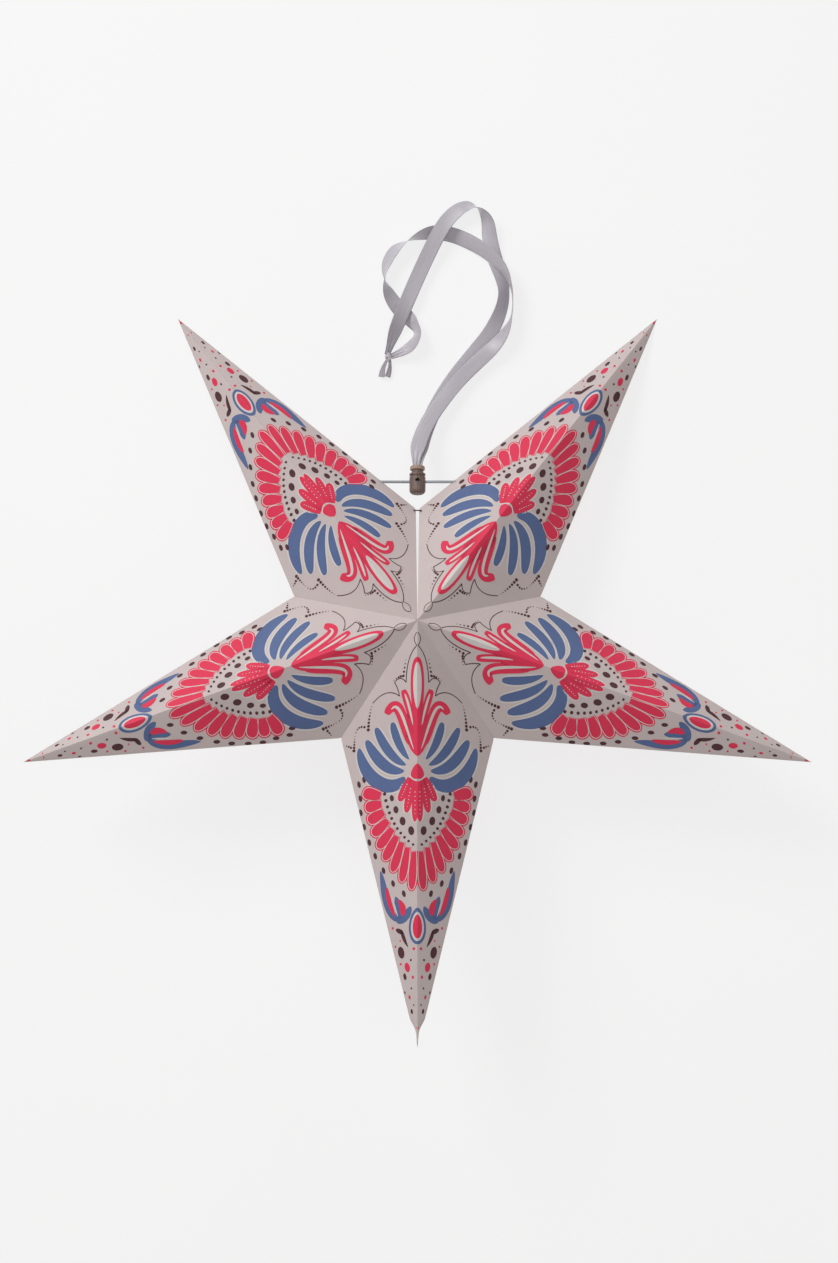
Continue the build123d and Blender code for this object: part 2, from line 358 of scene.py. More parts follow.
def wood_material(name, rgb, ring_scale):
    """Turned wood: rings and fine pores along the stopper's own length."""
    material, tree, shader = new_material(name)
    grain_place = stretched(tree, object_place(tree), (1.0, 0.16, 1.0))
    rings = add_node(
        tree, "ShaderNodeTexWave",
        {"Vector": grain_place, "Scale": ring_scale, "Distortion": 5.0, "Detail": 3.0},
        bands_direction="X",
    ).outputs["Fac"]  # fmt: skip
    pores = noise(tree, grain_place, 1500.0, 4.0, 0.7)
    tone = average(tree, rings, pores)
    body = ramp(tree, tone, 0.25, 0.75, shade(rgb, 0.62), shade(rgb, 1.3))
    tree.links.new(body, shader.inputs["Base Color"])
    tree.links.new(span(tree, pores, 0.38, 0.60), shader.inputs["Roughness"])
    bump(tree, shader, tone, 0.35, 0.0001)
    return material


def wire_material(rgb):
    """Drawn steel wire: fine lines along it and a dull, uneven surface."""
    material, tree, shader = new_material("drawn_wire")
    drawn = noise(tree, stretched(tree, object_place(tree), (60.0, 2500.0, 2500.0)), 1.0)
    tone = ramp(tree, drawn, 0.3, 0.7, shade(rgb, 0.75), shade(rgb, 1.2))
    tree.links.new(tone, shader.inputs["Base Color"])
    tree.links.new(span(tree, drawn, 0.28, 0.46), shader.inputs["Roughness"])
    shader.inputs["Metallic"].default_value = 1.0
    bump(tree, shader, drawn, 0.15, 0.00005)
    return material


def thread_material(rgb):
    """Twisted thread: slanting plies."""
    material, tree, shader = new_material("tie_thread")
    plies = add_node(
        tree, "ShaderNodeTexWave",
        {"Vector": object_place(tree), "Scale": 900.0, "Distortion": 1.0},
        bands_direction="DIAGONAL",
    ).outputs["Fac"]  # fmt: skip
    tone = ramp(tree, plies, 0.2, 0.8, shade(rgb, 0.6), shade(rgb, 1.8))
    tree.links.new(tone, shader.inputs["Base Color"])
    shader.inputs["Roughness"].default_value = 0.8
    bump(tree, shader, plies, 0.5, 0.0001)
    return material


# ---------------------------------------------------------------- the star's geometry


def star_geometry():
    """The star's corners and places, from its settings. In an arm's own frame the ridge lies
    over +X and the panel drawn is the front ccw one."""
    size = bpy.context.scene.paper_star
    star = SimpleNamespace(size=size, radius=size.tip_radius)
    star.slit = 2 * asin(size.slit_width / 2 / size.valley_radius)
    star.half_arm = (2 * pi - star.slit) / ARM_COUNT / 2
    apex = np.array((0.0, 0.0, size.half_depth))
    tip = np.array((size.tip_radius, 0.0, 0.0))
    corner = size.valley_radius * np.array((cos(star.half_arm), sin(star.half_arm), 0.0))
    star.normal = unit(np.cross(tip - apex, corner - apex))
    star.offset = star.normal @ tip
    star.corner = corner
    star.tip_angle = atan2(corner[1], size.tip_radius - corner[0])
    upper_tip_y = size.tip_radius * cos(star.half_arm + star.slit / 2)
    tilt = atan2(size.half_depth, upper_tip_y)
    star.stand = np.array(
        ((1, 0, 0), (0, cos(tilt), sin(tilt)), (0, -sin(tilt), cos(tilt)))
    )
    star.shift = np.array(
        (0.0, (size.tip_radius - upper_tip_y) / 2 * cos(tilt), size.half_depth * cos(tilt))
    )
    return star


def place_panel(star, points, arm, side, face):
    """Mirror points of the front ccw panel to the side and face asked for, turn them to the arm
    and stand the star up as it lies."""
    points = points * (1, -1 if side == "cw" else 1, -1 if face == "back" else 1)
    turn = pi / 2 - (2 * arm + 1) * star.half_arm - star.slit / 2
    spin = np.array(((cos(turn), -sin(turn), 0), (sin(turn), cos(turn), 0), (0, 0, 1)))
    return points @ spin.T @ star.stand.T + star.shift


def panels_of(name):
    """Each panel of an arm: its side, face and node, and whether it is turned inside out by its
    mirroring."""
    for side in SIDES:
        for face in FACES:
            yield side, face, f"{name}_{face}_{side}", (side == "cw") != (face == "back")


def panel_surface(star, along, across, lift, arm):
    """Points of the front ccw panel over plan places (along the ridge, across it). Height is the
    panel's plane, plus a bow that is the product of the shares of the three edge distances, less
    a small rounding at the ridge and the outline. A slow wave makes the bow uneven. lift moves a
    point along the plane's normal. Near the bottom arm's tip the width shrinks, so that it ends
    in a pressed blade."""
    size = star.size
    edge = (star.radius - along) * sin(star.tip_angle) - across * cos(star.tip_angle)
    valley = along * sin(star.half_arm) - across * cos(star.half_arm)
    shares = (
        across / star.corner[1],
        edge / (star.radius * sin(star.tip_angle)),
        valley / (star.radius * sin(star.half_arm)),
    )
    # The shares add up to one, so their product is at most one twenty-seventh.
    middle = 27 * np.prod(np.clip(shares, 0, 1), axis=0)
    soft = 7 * size.crease
    fold = np.exp(-((across / soft) ** 2)) + np.exp(-((edge / soft) ** 2))
    ripple = 1 + 0.35 * np.sin(along * 61 + arm * 2.1) * np.cos(across * 90 + arm)
    lift = lift + size.bow * middle * ripple - size.crease * fold
    height = (star.offset - star.normal[0] * along - star.normal[1] * across) / star.normal[2]
    near = np.clip((along - star.radius + 2 * size.pinch) / size.pinch, 0, 1)
    near = near * (ARM_NAMES[arm] == "bottom")
    blade = 1 - 0.66 * smooth_step(near)
    flat = np.stack([along, across * blade, height], axis=-1)
    return flat + lift[..., None] * star.normal


def panel_grids(star, arm, rows=150, columns=26):
    """Outer and inner grids of one panel: straight lines from the ridge to the outline, which
    runs from the centre point to the corner and on to the tip. The first and last line stop
    just short of both points, and the corner takes its own share of the lines."""
    ends = 0.0008
    corner_share = 0.27
    down = np.linspace(ends, 1 - ends, rows)[:, None]
    over = eased(columns)[None, :]
    inward = np.clip(down / corner_share, 0, 1)
    outward = np.clip((down - corner_share) / (1 - corner_share), 0, 1)
    rim_along = inward * star.corner[0] + outward * (star.radius - star.corner[0])
    rim_across = inward * star.corner[1] * (1 - outward)
    along = (1 - over) * star.radius * down + over * rim_along
    across = over * rim_across
    outer = panel_surface(star, along, across, np.zeros_like(along), arm)
    inner = outer - star.size.paper * star.normal
    for grid in (outer, inner):
        grid[..., 1:] = np.maximum(grid[..., 1:], CREASE_CLEARANCE)
    return outer, inner


# ---------------------------------------------------------------- the printed pattern
#
# Places are millimetres in plan: along the ridge from the star's centre, and across it. Each
# shape is drawn once, for one side of the ridge, and every panel wears it, mirrored as it lies.


STROKE_INSET = 0.06  # how far a stroke's end lines stand in from its points, as an angle
RIDGE_MARGIN = 0.03  # least distance of the print from the ridge


def curve_points(places, t):
    """Bezier curve through its first and last place, bent towards those between."""
    places = np.asarray(places, dtype=float)
    while len(places) > 1:
        if places.ndim == 2:
            places = places[:, None, :]
        places = places[:-1] * (1 - t)[None, :, None] + places[1:] * t[None, :, None]
    return places[0]


def swell(t, fat, point):
    """Width profile that is zero at both ends and one at t = fat: a power of t times a power of
    1 - t. point is about 1 for round ends and 2 for pointed ones."""
    rise, fall = point * fat, point * (1 - fat)
    peak = fat**rise * (1 - fat) ** fall
    return t**rise * (1 - t) ** fall / peak


def brush(places, width, fat=0.5, point=1.0, steps=16, columns=5, profile=None):
    """A stroke: a strip along a curve, whose half width follows the swell profile."""
    t = eased(steps, STROKE_INSET)
    middle = curve_points(places, t)
    heading = unit(np.gradient(middle, axis=0))
    beside = np.stack([-heading[:, 1], heading[:, 0]], axis=1)
    half = width * (swell(t, fat, point) if profile is None else profile(t))
    reach = np.linspace(-1, 1, columns)
    return middle[:, None, :] + beside[:, None, :] * (half[:, None] * reach)[..., None]


def line(places, width=0.34, steps=14):
    """A stroke of even width."""
    return brush(places, width, steps=steps, columns=2, profile=np.ones_like)


def ridge_leaf(start, end, width, fat=0.5, point=1.0):
    """Half of a leaf that lies along the ridge: from the ridge out to the swell profile."""
    rows, columns = 20, 8
    t = eased(rows, STROKE_INSET)
    along = np.broadcast_to((start + (end - start) * t)[:, None], (rows, columns))
    across = RIDGE_MARGIN + (width * swell(t, fat, point))[:, None] * eased(columns)
    return np.stack([along, across], axis=-1)


def oval(along, across, half_long, half_wide, lean=0.0):
    """An oval dot, its long axis along the ridge unless it leans, in degrees."""
    step = np.array((cos(radians(lean)), sin(radians(lean)))) * half_long
    middle = np.array((along, across))
    ends = (middle - step, middle + step)
    return brush(ends, half_wide, steps=9, columns=3)


def dots(places, first, last, count):
    """A row of round dots along a curve, growing from the first radius to the last."""
    t = np.linspace(0, 1, count)
    sizes = np.linspace(first, last, count)
    return [oval(*place, size, size) for place, size in zip(curve_points(places, t), sizes)]


def fan_petal(inner, outer, width, shrink=0.0):
    """A petal that is open at its inner end and round at its outer end. shrink draws it smaller
    all round."""
    inner, outer = np.asarray(inner, float), np.asarray(outer, float)
    heading = unit(outer - inner)
    ends = (inner + heading * shrink * 0.3, outer - heading * shrink)
    return brush(
        ends, width - shrink, steps=16,
        profile=lambda t: 1.2 * (0.50 + 0.62 * t) * np.sqrt(np.clip(1 - t**3.6, 0, 1)),
    )  # fmt: skip


def scalloped_border():
    """Fine brown lines and rows of dots between the centre and the first flower."""
    shapes = [
        line([(8.8, 0.3), (13.2, 4.4), (18.6, 0.4)], 0.26),
        line([(18.6, 0.4), (26.0, 8.4), (45.4, 8.4)]),
        line([(45.4, 8.4), (38.6, 12.8), (44.4, 17.3)]),
        line([(44.4, 17.3), (49.0, 14.4), (55.0, 13.5)]),
        line([(55.0, 13.5), (46.6, 23.0), (58.0, 34.1)]),
    ]
    shapes += dots([(60.4, 34.9), (68.0, 37.0), (77.6, 37.4)], 0.34, 1.25, 8)
    shapes += dots([(75.2, 40.4), (73.2, 46.6), (81.5, 47.8)], 0.95, 0.34, 6)
    shapes += dots([(83.6, 48.0), (87.5, 48.4), (92.2, 48.6)], 0.40, 1.20, 5)
    shapes += dots([(89.6, 51.0), (88.6, 52.8), (88.0, 54.4)], 0.95, 0.50, 3)
    shapes += dots([(28.5, 8.6), (34.0, 9.6), (40.2, 10.6)], 0.34, 1.05, 5)
    shapes += dots([(40.4, 12.6), (40.8, 15.0), (42.6, 17.8)], 0.95, 0.34, 4)
    return shapes


def lily():
    """Red flower with a centre blade and two curled petals a side. Pale lines follow each."""
    inner_petal = [(86.0, 2.5), (68.0, 4.6), (58.5, 8.0), (50.6, 10.6)]
    outer_petal = [(92.0, 5.5), (74.0, 11.0), (51.5, 13.6), (67.4, 23.4)]
    inner_vein = [(78.0, 3.2), (64.0, 5.6), (53.6, 9.4)]
    outer_vein = [(96.0, 2.6), (79.0, 8.6), (56.0, 13.4), (64.4, 19.6)]
    red = [
        ridge_leaf(27.2, 82.0, 5.0, 0.36, 1.15),
        ridge_leaf(60.0, 101.2, 9.3, 0.45, 1.35),
        brush(inner_petal, 2.7, 0.66, 0.7, steps=20),
        brush(outer_petal, 3.9, 0.62, 0.5, steps=30),
    ]
    pale = [
        ridge_leaf(31.0, 66.0, 3.1, 0.44, 1.25),
        brush(inner_vein, 0.85, 0.6, 1.0),
        brush(outer_vein, 1.05, 0.60, 1.0, steps=24),
    ]
    return red, pale


def leaf_sprays():
    """Four blue leaves a side, fanned from the middle, each inside a pale rim."""
    leaves = [
        ([(103.0, 6.2), (92.5, 15.0), (74.2, 18.8)], 2.9, 0.66),
        ([(107.0, 8.4), (101.0, 21.5), (76.8, 31.4)], 3.4, 0.62),
        ([(111.2, 9.8), (112.0, 26.0), (85.4, 38.8)], 4.1, 0.58),
        ([(115.8, 9.6), (129.0, 17.0), (119.0, 40.5), (90.8, 44.6)], 5.2, 0.48),
    ]
    blue = [brush(places, width, fat, 0.85, steps=24) for places, width, fat in leaves]
    pale = [brush(places, width + 1.2, fat, 0.70, steps=24) for places, width, fat in leaves]
    return blue, pale


def shell_fan():
    """Small red bud and the ribbed fan below it."""
    ribs = [
        ((116.6, 5.4), (134.0, 13.4), 3.6),
        ((118.0, 3.8), (143.0, 8.2), 3.3),
        ((119.0, 1.6), (150.2, 1.8), 2.8),
    ]
    rim = [fan_petal(a, b, w + 0.5, -0.4) for a, b, w in ribs]
    red = [fan_petal(a, b, w, 0.35) for a, b, w in ribs]
    red.append(ridge_leaf(106.6, 118.0, 4.8, 0.70, 1.0))
    pale = [line([(119.4, 0.3), (118.6, 3.8), (114.6, 5.8)], 0.45)]
    for start, end, _ in ribs:
        inner = np.asarray(start) * 0.72 + np.asarray(end) * 0.28
        outer = np.asarray(start) * 0.20 + np.asarray(end) * 0.80
        pale += dots([inner, outer], 0.42, 0.30, 6)
    return red, pale, rim


def speckled_arch():
    """Brown ovals and a row of small dots between the shell fan and the great fan."""
    places = [(130.7, 19.1), (139.6, 16.0), (148.5, 11.0), (156.2, 4.6)]
    sizes = [(2.4, 1.5), (2.8, 1.9), (3.3, 2.2), (3.4, 2.2)]
    ovals = [oval(*place, *size, -10) for place, size in zip(places, sizes)]
    row = [(127.0, 24.6), (153.0, 20.6), (166.6, 3.2)]
    return ovals + dots(row, 1.30, 0.95, 11)


def great_fan():
    """Nine large red petals a side, each with a pale line inside its edge."""
    inner = [
        (128.5, 27.3), (134.2, 26.7), (140.2, 24.9), (146.8, 21.9), (153.2, 18.6),
        (158.8, 15.3), (163.8, 11.5), (168.0, 7.3), (171.4, 2.6),
    ]  # fmt: skip
    outer = [
        (124.0, 42.6), (136.4, 41.0), (147.2, 38.6), (157.9, 34.9), (168.2, 30.7),
        (177.8, 25.6), (187.0, 19.1), (195.2, 11.9), (201.4, 4.3),
    ]  # fmt: skip
    width = np.array([6.0, 5.8, 5.8, 5.7, 5.4, 5.2, 4.9, 4.6, 4.4])
    rows = list(zip(inner, outer, width))
    rim = [fan_petal(a, b, w, 0.0) for a, b, w in rows]
    pale = [fan_petal(a, b, w, 0.85) for a, b, w in rows]
    red = [fan_petal(a, b, w, 1.40) for a, b, w in rows]
    return rim, pale, red


def fan_border():
    """Brown ovals outside the great fan, following the outline and then the petal tips."""
    row = [
        (114.8, 40.7), (118.1, 44.6), (128.8, 43.6), (139.4, 43.2), (150.4, 40.6),
        (162.4, 36.6), (172.9, 32.0), (184.3, 25.6), (194.5, 18.2), (202.6, 10.0),
    ]  # fmt: skip
    return [oval(*place, 2.6, 1.35, -14) for place in row]


def wings():
    """Blue crescent with two red fields, and the ringed drop on the ridge beside it."""
    blue = [
        brush([(184.4, 28.0), (197.0, 24.8), (214.0, 24.6), (222.6, 15.0)], 2.9, 0.62, 1.0),
        brush([(223.0, 15.6), (221.6, 8.4), (212.4, 4.9)], 3.4, 0.42, 1.0),
        brush([(221.6, 13.2), (213.0, 13.0), (204.4, 16.4)], 3.0, 0.42, 1.1),
        ridge_leaf(213.6, 240.8, 6.3, 0.55, 1.15),
    ]
    red = [
        brush([(197.0, 23.0), (208.0, 22.2), (218.6, 16.9)], 1.7, 0.5, 1.0),
        brush([(219.0, 11.4), (213.6, 8.8), (206.6, 14.2)], 2.2, 0.45, 1.1),
        ridge_leaf(218.8, 236.5, 3.4, 0.53, 1.1),
    ]
    pale = [
        ridge_leaf(216.6, 238.4, 4.7, 0.54, 1.15),
        brush([(219.4, 14.6), (212.0, 17.0), (203.0, 19.4)], 0.55, 0.5, 1.0),
    ]
    return red, pale, blue


def tip_marks():
    """Small marks, ovals and scattered dots towards the tip."""
    brown = [
        brush([(228.8, 16.2), (230.0, 13.4), (232.6, 10.4)], 1.7, 0.5, 1.2),
        brush([(229.4, 11.8), (236.0, 10.8), (242.6, 6.8)], 1.25, 0.4, 1.3),
        oval(246.3, 12.2, 4.5, 2.4, -12),
        oval(264.3, 9.4, 2.6, 1.15, -12),
        oval(290.3, 4.2, 1.9, 0.85, -10),
        oval(252.2, 4.9, 0.9, 0.7),
        oval(273.2, 4.5, 0.8, 0.6),
        oval(285.6, 2.7, 0.7, 0.5),
        oval(276.2, 9.4, 1.3, 0.45, -12),
    ]
    red = [
        oval(257.5, 7.6, 3.6, 1.95, -12),
        oval(227.8, 18.6, 1.0, 0.8),
        oval(237.6, 12.9, 0.7, 0.6),
        oval(241.7, 16.6, 0.9, 0.7),
        oval(243.9, 2.6, 1.1, 1.0),
        oval(254.9, 12.6, 0.9, 0.7),
        oval(265.0, 3.4, 1.2, 0.9),
        oval(279.7, 5.9, 1.6, 0.8, -10),
        oval(302.6, 1.6, 0.7, 0.5),
        oval(314.6, 0.45, 1.6, 0.35),
    ]
    return brown, red


def pattern():
    """Every printed shape as (ink, layer, shape). A higher layer lies over a lower one."""
    lily_red, lily_pale = lily()
    leaf_blue, leaf_pale = leaf_sprays()
    shell_red, shell_pale, shell_rim = shell_fan()
    fan_rim, fan_pale, fan_red = great_fan()
    wing_red, wing_pale, wing_blue = wings()
    mark_brown, mark_red = tip_marks()
    rows = [
        ("brown", 1, scalloped_border() + speckled_arch() + fan_border() + mark_brown),
        ("pale", 0, leaf_pale), ("blue", 1, leaf_blue),
        ("red", 2, lily_red), ("pale", 3, lily_pale),
        ("pale", 1, shell_rim), ("red", 2, shell_red), ("pale", 3, shell_pale),
        ("red", 1, fan_rim + mark_red), ("pale", 2, fan_pale), ("red", 3, fan_red),
        ("blue", 1, wing_blue), ("pale", 2, wing_pale), ("red", 3, wing_red),
    ]  # fmt: skip
    return [(ink, layer, shape) for ink, layer, shapes in rows for shape in shapes]


def ink_mesh(star, shapes, arm):
    """All printed shapes of one panel, each laid on the panel's own surface, a little above the
    paper and above the layers below it. Shapes are kept inside the panel's edges."""
    points, faces, inks, start = [], [], [], 0
    margin = 0.0002
    for ink, layer, shape in shapes:
        along, across = shape[..., 0] * MM, shape[..., 1] * MM
        by_edge = (star.radius - margin - along) * tan(star.tip_angle)
        by_valley = along * tan(star.half_arm) - margin
        across = np.clip(across, RIDGE_MARGIN * MM, np.minimum(by_edge, by_valley))
        lift = np.full_like(along, INK_STEP * (layer + 1.5))
        rows, columns = along.shape
        points.append(panel_surface(star, along, across, lift, arm).reshape(-1, 3))
        quads = grid_quads(rows, columns, start)
        one, two = shape[1, 0] - shape[0, 0], shape[0, -1] - shape[0, 0]
        if one[0] * two[1] - one[1] * two[0] > 0:
            quads = quads[:, ::-1]
        faces.append(quads)
        inks.append(np.full(len(quads), INK_NAMES.index(ink)))
        start += rows * columns
    return np.concatenate(points), np.concatenate(faces), np.concatenate(inks)


# ---------------------------------------------------------------- the ribbon


def smooth_line(name, route):
    """Points along the route's smooth line, evenly spaced and run on a little at the end, with
    the route's lean and the distance travelled at each."""
    curve = bpy.data.curves.new(name, "CURVE")
    curve.dimensions = "3D"
    curve.resolution_u = 12
    spline = curve.splines.new("NURBS")
    spline.points.add(len(route) - 1)
    controls = np.column_stack([route[:, :3], np.ones(len(route))])
    spline.points.foreach_set("co", controls.astype(np.float32).ravel())
    spline.order_u = 3
    spline.use_endpoint_u = True
    holder = bpy.data.objects.new(name, curve)
    mesh = bpy.data.meshes.new_from_object(holder)
    found = np.empty(len(mesh.vertices) * 3)
    mesh.vertices.foreach_get("co", found)
    found = found.reshape(-1, 3)
    bpy.data.objects.remove(holder)
    bpy.data.curves.remove(curve)
    bpy.data.meshes.remove(mesh)
    travelled = np.concatenate([[0], np.cumsum(np.linalg.norm(np.diff(found, axis=0), axis=1))])
    even = np.linspace(0, travelled[-1], 1 + round(travelled[-1] / RIBBON_STEP))
    places = np.stack([np.interp(even, travelled, found[:, i]) for i in range(3)], axis=1)
    share = np.linspace(0, 1, len(found))
    leans = np.interp(share, np.linspace(0, 1, len(route)), route[:, 3])
    lean = np.interp(even, travelled, leans)
    ease = np.hanning(LEAN_WINDOW) / np.hanning(LEAN_WINDOW).sum()
    lean = np.convolve(np.pad(lean, LEAN_WINDOW // 2, mode="edge"), ease, mode="valid")
    steps = np.arange(1, TUCK + 1)
    places = np.concatenate([places, places[-1] + (places[-1] - places[-2]) * steps[:, None]])
    even = np.concatenate([even, even[-1] + even[1] * steps])
    return places, np.radians(np.pad(lean, (0, TUCK), mode="edge")), even


def strip_frames(places, lean):
    """At each place, the unit vectors across the strip and off its face: level and upright,
    turned about the line by the lean."""
    heading = unit(np.gradient(places, axis=0))
    level = unit(np.cross(heading, (0.0, 0.0, 1.0)))
    upright = np.cross(level, heading)
    turn, rise = np.cos(lean)[:, None], np.sin(lean)[:, None]
    return turn * level + rise * upright, turn * upright - rise * level


def ribbon_strip(places, lean, travelled, widths, folds, thickness):
    """A flat strip carried along a line. Across it, x goes from -1 to 1: a point stands x times
    half the width to the side, and off the face by a shallow arch, cosine pleats as high as
    folds says, and a slow twist to and fro."""
    across, off = strip_frames(places, lean)
    x = np.linspace(-1, 1, 17)
    half = widths[:, None, None] / 2
    arch = 0.00035 * (1 - x**2)[None, :, None]
    pleat = folds[:, None, None] * np.cos(2.5 * pi * x)[None, :, None]
    wander = 0.0002 * np.sin(travelled * 95)[:, None, None] * x[None, :, None]
    middle = places[:, None, :] + across[:, None, :] * half * x[None, :, None]
    middle = middle + off[:, None, :] * (arch + pleat + wander)
    skin = off[:, None, :] * thickness / 2
    points, faces, rim = shell(middle + skin, middle - skin)
    uv = np.stack(np.broadcast_arrays(travelled[:, None], (x[None, :] + 1) / 2), axis=-1)
    uv = np.concatenate([uv.reshape(-1, 2), uv.reshape(-1, 2)])
    return points, faces, rim, uv


def ease_in(travelled, reach):
    """Goes smoothly from 0 to 1 over the first reach metres."""
    return smooth_step(np.clip(travelled / reach, 0, 1))


def wrapped_band(centre, axis, ring, tube, squash, turns_offset):
    """A pleated band tied round an axis: a ring of radius ring about the axis, a little lower
    than it is wide, whose cross section is an oval of radius tube, flattened by squash, with
    shallow pleats round it."""
    axis = unit(np.asarray(axis, float))
    side = unit(np.cross(axis, (0.0, 0.0, 1.0)))
    up = 0.86 * np.cross(side, axis)
    round_ring = np.linspace(0, 2 * pi, 49)[:-1, None]
    round_tube = np.linspace(0, 2 * pi, 29)[None, :-1]
    pleats = 1 + 0.10 * np.cos(5 * round_tube + turns_offset + 1.5 * np.sin(round_ring))
    out = ring + tube * squash * pleats * np.cos(round_tube)
    shift = tube * pleats * np.sin(round_tube) + 0.0004 * np.sin(round_ring + turns_offset)
    radial = np.cos(round_ring)[..., None] * side + np.sin(round_ring)[..., None] * up
    points = centre + out[..., None] * radial + shift[..., None] * axis
    return closed_torus(points)


def closed_torus(points):
    """Faces of a grid that closes on itself both ways, pointing outwards."""
    rows, columns = points.shape[:2]
    index = np.arange(rows * columns).reshape(rows, columns)
    right, down = np.roll(index, -1, axis=1), np.roll(index, -1, axis=0)
    diagonal = np.roll(right, -1, axis=0)
    faces = np.stack([index.ravel(), right.ravel(), diagonal.ravel(), down.ravel()], axis=1)
    return points.reshape(-1, 3), faces


# ---------------------------------------------------------------- operators


class PAPERSTAR_OT_stage(bpy.types.Operator):
    """Pale floor, soft lights and an overhead camera"""

    bl_idname = "paper_star.stage"
    bl_label = "Stage"

    def execute(self, context):
        scene = context.scene
        scene.view_settings.view_transform = "Standard"
        lens = bpy.data.cameras.new("overhead")
        lens.lens = 77.96
        camera = bpy.data.objects.new("overhead", lens)
        camera.location = (0.0012, 0.0331, 2.172)
        scene.collection.objects.link(camera)
        scene.camera = camera
        corners = 3.0 * np.array([(-1, -1, 0), (1, -1, 0), (1, 1, 0), (-1, 1, 0)])
        material, tree, shader = new_material("pale_floor")
        grain = noise(tree, object_place(tree), 3.0, 2.0)
        tone = ramp(tree, grain, 0.3, 0.7, (0.185, 0.185, 0.185), (0.195, 0.195, 0.195))
        tree.links.new(tone, shader.inputs["Base Color"])
        shader.inputs["Emission Color"].default_value = (1.0, 1.0, 1.0, 1.0)
        shader.inputs["Emission Strength"].default_value = 0.755
        shader.inputs["Roughness"].default_value = 0.9
        shader.inputs["Specular IOR Level"].default_value = 0.0
        floor = mesh_object("pale_floor", corners, np.array([[0, 1, 2, 3]]), [material])
        world = scene.world or bpy.data.worlds.new("soft_room")
        scene.world = world
        world.use_nodes = True
        backdrop = world.node_tree.nodes["Background"]
        backdrop.inputs["Color"].default_value = (1.0, 0.985, 0.98, 1.0)
        backdrop.inputs["Strength"].default_value = 0.36
        middle = (0, 0.03, 0.05)
        self.lamp(scene, "window", (-1.4, 1.8, 1.6), middle, 1.1, 42.0)
        self.lamp(scene, "overhead_panel", (0.3, 0.2, 2.9), middle, 1.8, 13.0)
        return {"FINISHED"}

    @staticmethod
    def lamp(scene, name, place, target, size, power):
        """A square area light at a place, turned to face its target."""
        light = bpy.data.lights.new(name, "AREA")
        light.size = size
        light.energy = power
        lamp = bpy.data.objects.new(name, light)
        away = np.array(place) - np.array(target)
        across = float(np.hypot(away[0], away[1]))
        lamp.location = place
        lamp.rotation_euler = (atan2(across, away[2]), 0, atan2(away[1], away[0]) + pi / 2)
        scene.collection.objects.link(lamp)


class PAPERSTAR_OT_ribbon(bpy.types.Operator):
    """Satin ribbon: two strands, the knot that joins them and its two tails"""

    bl_idname = "paper_star.ribbon"
    bl_label = "Ribbon"

    def execute(self, context):
        size = context.scene.paper_hanger
        satin = ribbon_material(size.ribbon)
        knot = self.knot(satin)
        tails = [self.tail(satin, size, label, turn) for label, turn in (("a", -1), ("b", 1))]
        strands = (("a", STRAND_A, LENGTH_A, [knot, *tails]), ("b", STRAND_B, LENGTH_B, []))
        for label, route, real_length, with_pieces in strands:
            places, lean, travelled = smooth_line(f"ribbon_route_{label}", route)
            left = travelled[-1] - travelled
            opened = ease_in(travelled, 0.022) * ease_in(left + 0.0015, 0.024)
            widths = size.ribbon_width * (0.42 + 0.58 * opened)
            folds = 0.0007 * (1 - opened)
            points, faces, rim, uv = ribbon_strip(
                places, lean, travelled, widths, folds, size.ribbon_thickness
            )
            points[:, 2] = np.maximum(points[:, 2], 0.0002)
            strand = mesh_object(f"ribbon_{label}", points, faces, [satin], None, rim, uv)
            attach(strand, "hanger")
            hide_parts(f"ribbon_strand_{label}")
        return {"FINISHED"}

    @staticmethod
    def knot(satin):
        """Three pleated bands wrapped round the gathered strands. Each row is a band's offset
        from the knot's centre, axis, ring, tube, squash and pleat turn."""
        rows = [
            ((0.0, 0.0, 0.0), (0.25, 1.0, 0.0), 0.0018, 0.0015, 0.70, 0.0),
            ((0.0006, -0.0014, 0.0002), (-0.55, 1.0, 0.15), 0.0017, 0.0012, 0.7, 2.0),
            ((0.0004, 0.0018, 0.0), (0.7, 1.0, -0.1), 0.0015, 0.0013, 0.8, 4.0),
        ]
        bands = [wrapped_band(KNOT_CENTRE + offset, *shape) for offset, *shape in rows]
        band_size = len(bands[0][0])
        points = np.concatenate([band_points for band_points, _ in bands])
        faces = np.concatenate([band_faces + i * band_size for i, (_, band_faces) in enumerate(bands)])
        points[:, 2] = np.maximum(points[:, 2], 0.0003)
        uv = np.stack([points[:, 0] * 3, (points[:, 1] * 60) % 1 * 0.8 + 0.1], axis=1)
        piece = mesh_object("ribbon_knot_wraps", points, faces, [satin], uv=uv)
        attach(piece, "hanger")
        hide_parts("ribbon_knot")
        return piece

    @staticmethod
    def tail(satin, size, label, turn):
        """One cut end: a short strip that opens from the knot, pleated along its length."""
        rows = 24
        start = KNOT_CENTRE + (turn * 0.0008, -0.0018, -0.0006)
        end = KNOT_CENTRE + (turn * 0.0024 - 0.0032, -0.0158, -0.0012)
        t = np.linspace(0, 1, rows)[:, None]
        sway = np.sin(t * pi) * np.array((turn * 0.0009, 0.0, 0.0004))
        places = start * (1 - t) + end * t + sway
        travelled = t[:, 0] * float(np.linalg.norm(end - start))
        lean = np.radians(np.linspace(40, 18, rows) * turn)
        widths = size.ribbon_width * (0.20 + 0.22 * ease_in(travelled, travelled[-1]))
        folds = np.full(rows, 0.0006)
        points, faces, rim, uv = ribbon_strip(
            places, lean, travelled, widths, folds, size.ribbon_thickness
        )
        points[:, 2] = np.maximum(points[:, 2], 0.0003)
        piece = mesh_object(f"ribbon_cut_end_{label}", points, faces, [satin], None, rim, uv)
        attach(piece, "hanger")
        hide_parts(f"ribbon_tail_{label}")
        return piece


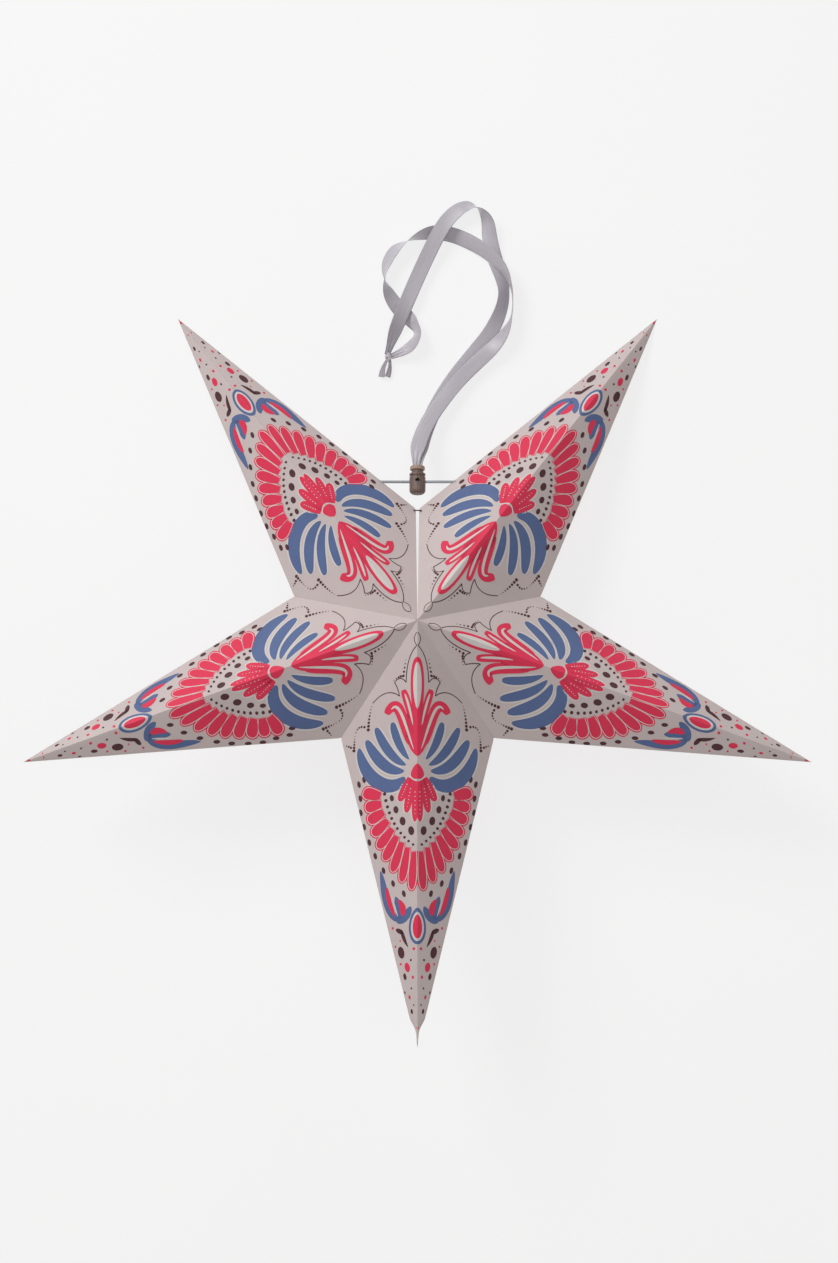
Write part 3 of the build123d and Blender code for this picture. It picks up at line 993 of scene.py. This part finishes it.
class PAPERSTAR_OT_panels(bpy.types.Operator):
    """The twenty folded paper panels"""

    bl_idname = "paper_star.panels"
    bl_label = "Paper panels"

    def execute(self, context):
        size = context.scene.paper_star
        printed = paper_material("printed_paper", size.printed, 0.62, 0.035)
        plain = paper_material("plain_paper", size.plain, 0.78, 0.025)
        star = star_geometry()
        for arm, name in enumerate(ARM_NAMES):
            outer, inner = panel_grids(star, arm)
            points, faces, rim = shell(outer, inner)
            sheet_faces = rim // 2
            slots = np.ones(len(faces), dtype=np.int32)
            slots[:sheet_faces] = 0
            for side, face, node, turned in panels_of(name):
                placed = place_panel(star, points, arm, side, face)
                piece = mesh_object(
                    f"paper_{node}", placed, faces if turned else faces[:, ::-1],
                    [printed, plain], slots, rim,
                )  # fmt: skip
                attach(piece, f"{node}_panel")
                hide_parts(node)
        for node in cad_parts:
            if node.endswith("_flap"):
                dress(node, plain)
        return {"FINISHED"}


class PAPERSTAR_OT_print(bpy.types.Operator):
    """The folk pattern printed on the outside of every panel"""

    bl_idname = "paper_star.print"
    bl_label = "Printed pattern"

    def execute(self, context):
        ink = context.scene.paper_print
        inks = [
            paper_material("red_ink", ink.red, 0.56, 0.06),
            paper_material("blue_ink", ink.blue, 0.56, 0.10),
            paper_material("brown_ink", ink.brown, 0.58, 0.14),
            paper_material("pale_ink", ink.pale, 0.60, 0.03),
        ]
        star = star_geometry()
        shapes = pattern()
        for arm, name in enumerate(ARM_NAMES):
            points, faces, slots = ink_mesh(star, shapes, arm)
            for side, face, node, turned in panels_of(name):
                placed = place_panel(star, points, arm, side, face)
                piece = mesh_object(
                    f"ink_{node}", placed, faces[:, ::-1] if turned else faces, inks, slots
                )
                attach(piece, f"{node}_panel")
        return {"FINISHED"}


class PAPERSTAR_OT_hardware(bpy.types.Operator):
    """Finishes for the bar, the stopper and the thread tie"""

    bl_idname = "paper_star.hardware"
    bl_label = "Bar, stopper and tie"

    def execute(self, context):
        tint = context.scene.paper_hanger
        dress("hanging_bar", wire_material(tint.wire))
        dress("stopper_barrel", wood_material("barrel_wood", tint.dark_wood, 260.0))
        dress("stopper_cap", wood_material("cap_wood", tint.pale_wood, 330.0))
        dress("slit_tie", thread_material(tint.thread))
        return {"FINISHED"}


class PAPERSTAR_PT_panel(bpy.types.Panel):
    """The star's settings and the steps that build it"""

    bl_idname = "PAPERSTAR_PT_panel"
    bl_label = "Paper Star"
    bl_space_type = "VIEW_3D"
    bl_region_type = "UI"
    bl_category = "Paper Star"

    def draw(self, context):
        for group in ("paper_star", "paper_print", "paper_hanger"):
            settings = getattr(context.scene, group)
            box = self.layout.box()
            for key in settings.bl_rna.properties.keys():
                if key not in ("rna_type", "name"):
                    box.prop(settings, key)
        for operator in OPERATORS:
            self.layout.operator(operator.bl_idname)


SETTINGS = {
    "paper_star": StarSettings,
    "paper_print": PrintSettings,
    "paper_hanger": HangerSettings,
}
OPERATORS = (
    PAPERSTAR_OT_stage,
    PAPERSTAR_OT_ribbon,
    PAPERSTAR_OT_panels,
    PAPERSTAR_OT_print,
    PAPERSTAR_OT_hardware,
)


def register():
    """Register the settings, the operators and the panel."""
    for name, group in SETTINGS.items():
        bpy.utils.register_class(group)
        setattr(bpy.types.Scene, name, bpy.props.PointerProperty(type=group))
    for cls in (*OPERATORS, PAPERSTAR_PT_panel):
        bpy.utils.register_class(cls)


def unregister():
    """Remove what register added."""
    for cls in (PAPERSTAR_PT_panel, *reversed(OPERATORS)):
        bpy.utils.unregister_class(cls)
    for name, group in SETTINGS.items():
        delattr(bpy.types.Scene, name)
        bpy.utils.unregister_class(group)


def main():
    """Build everything."""
    register()
    bpy.ops.paper_star.stage()
    bpy.ops.paper_star.ribbon()
    bpy.ops.paper_star.panels()
    bpy.ops.paper_star.print()
    bpy.ops.paper_star.hardware()


if __name__ == "__main__":
    main()
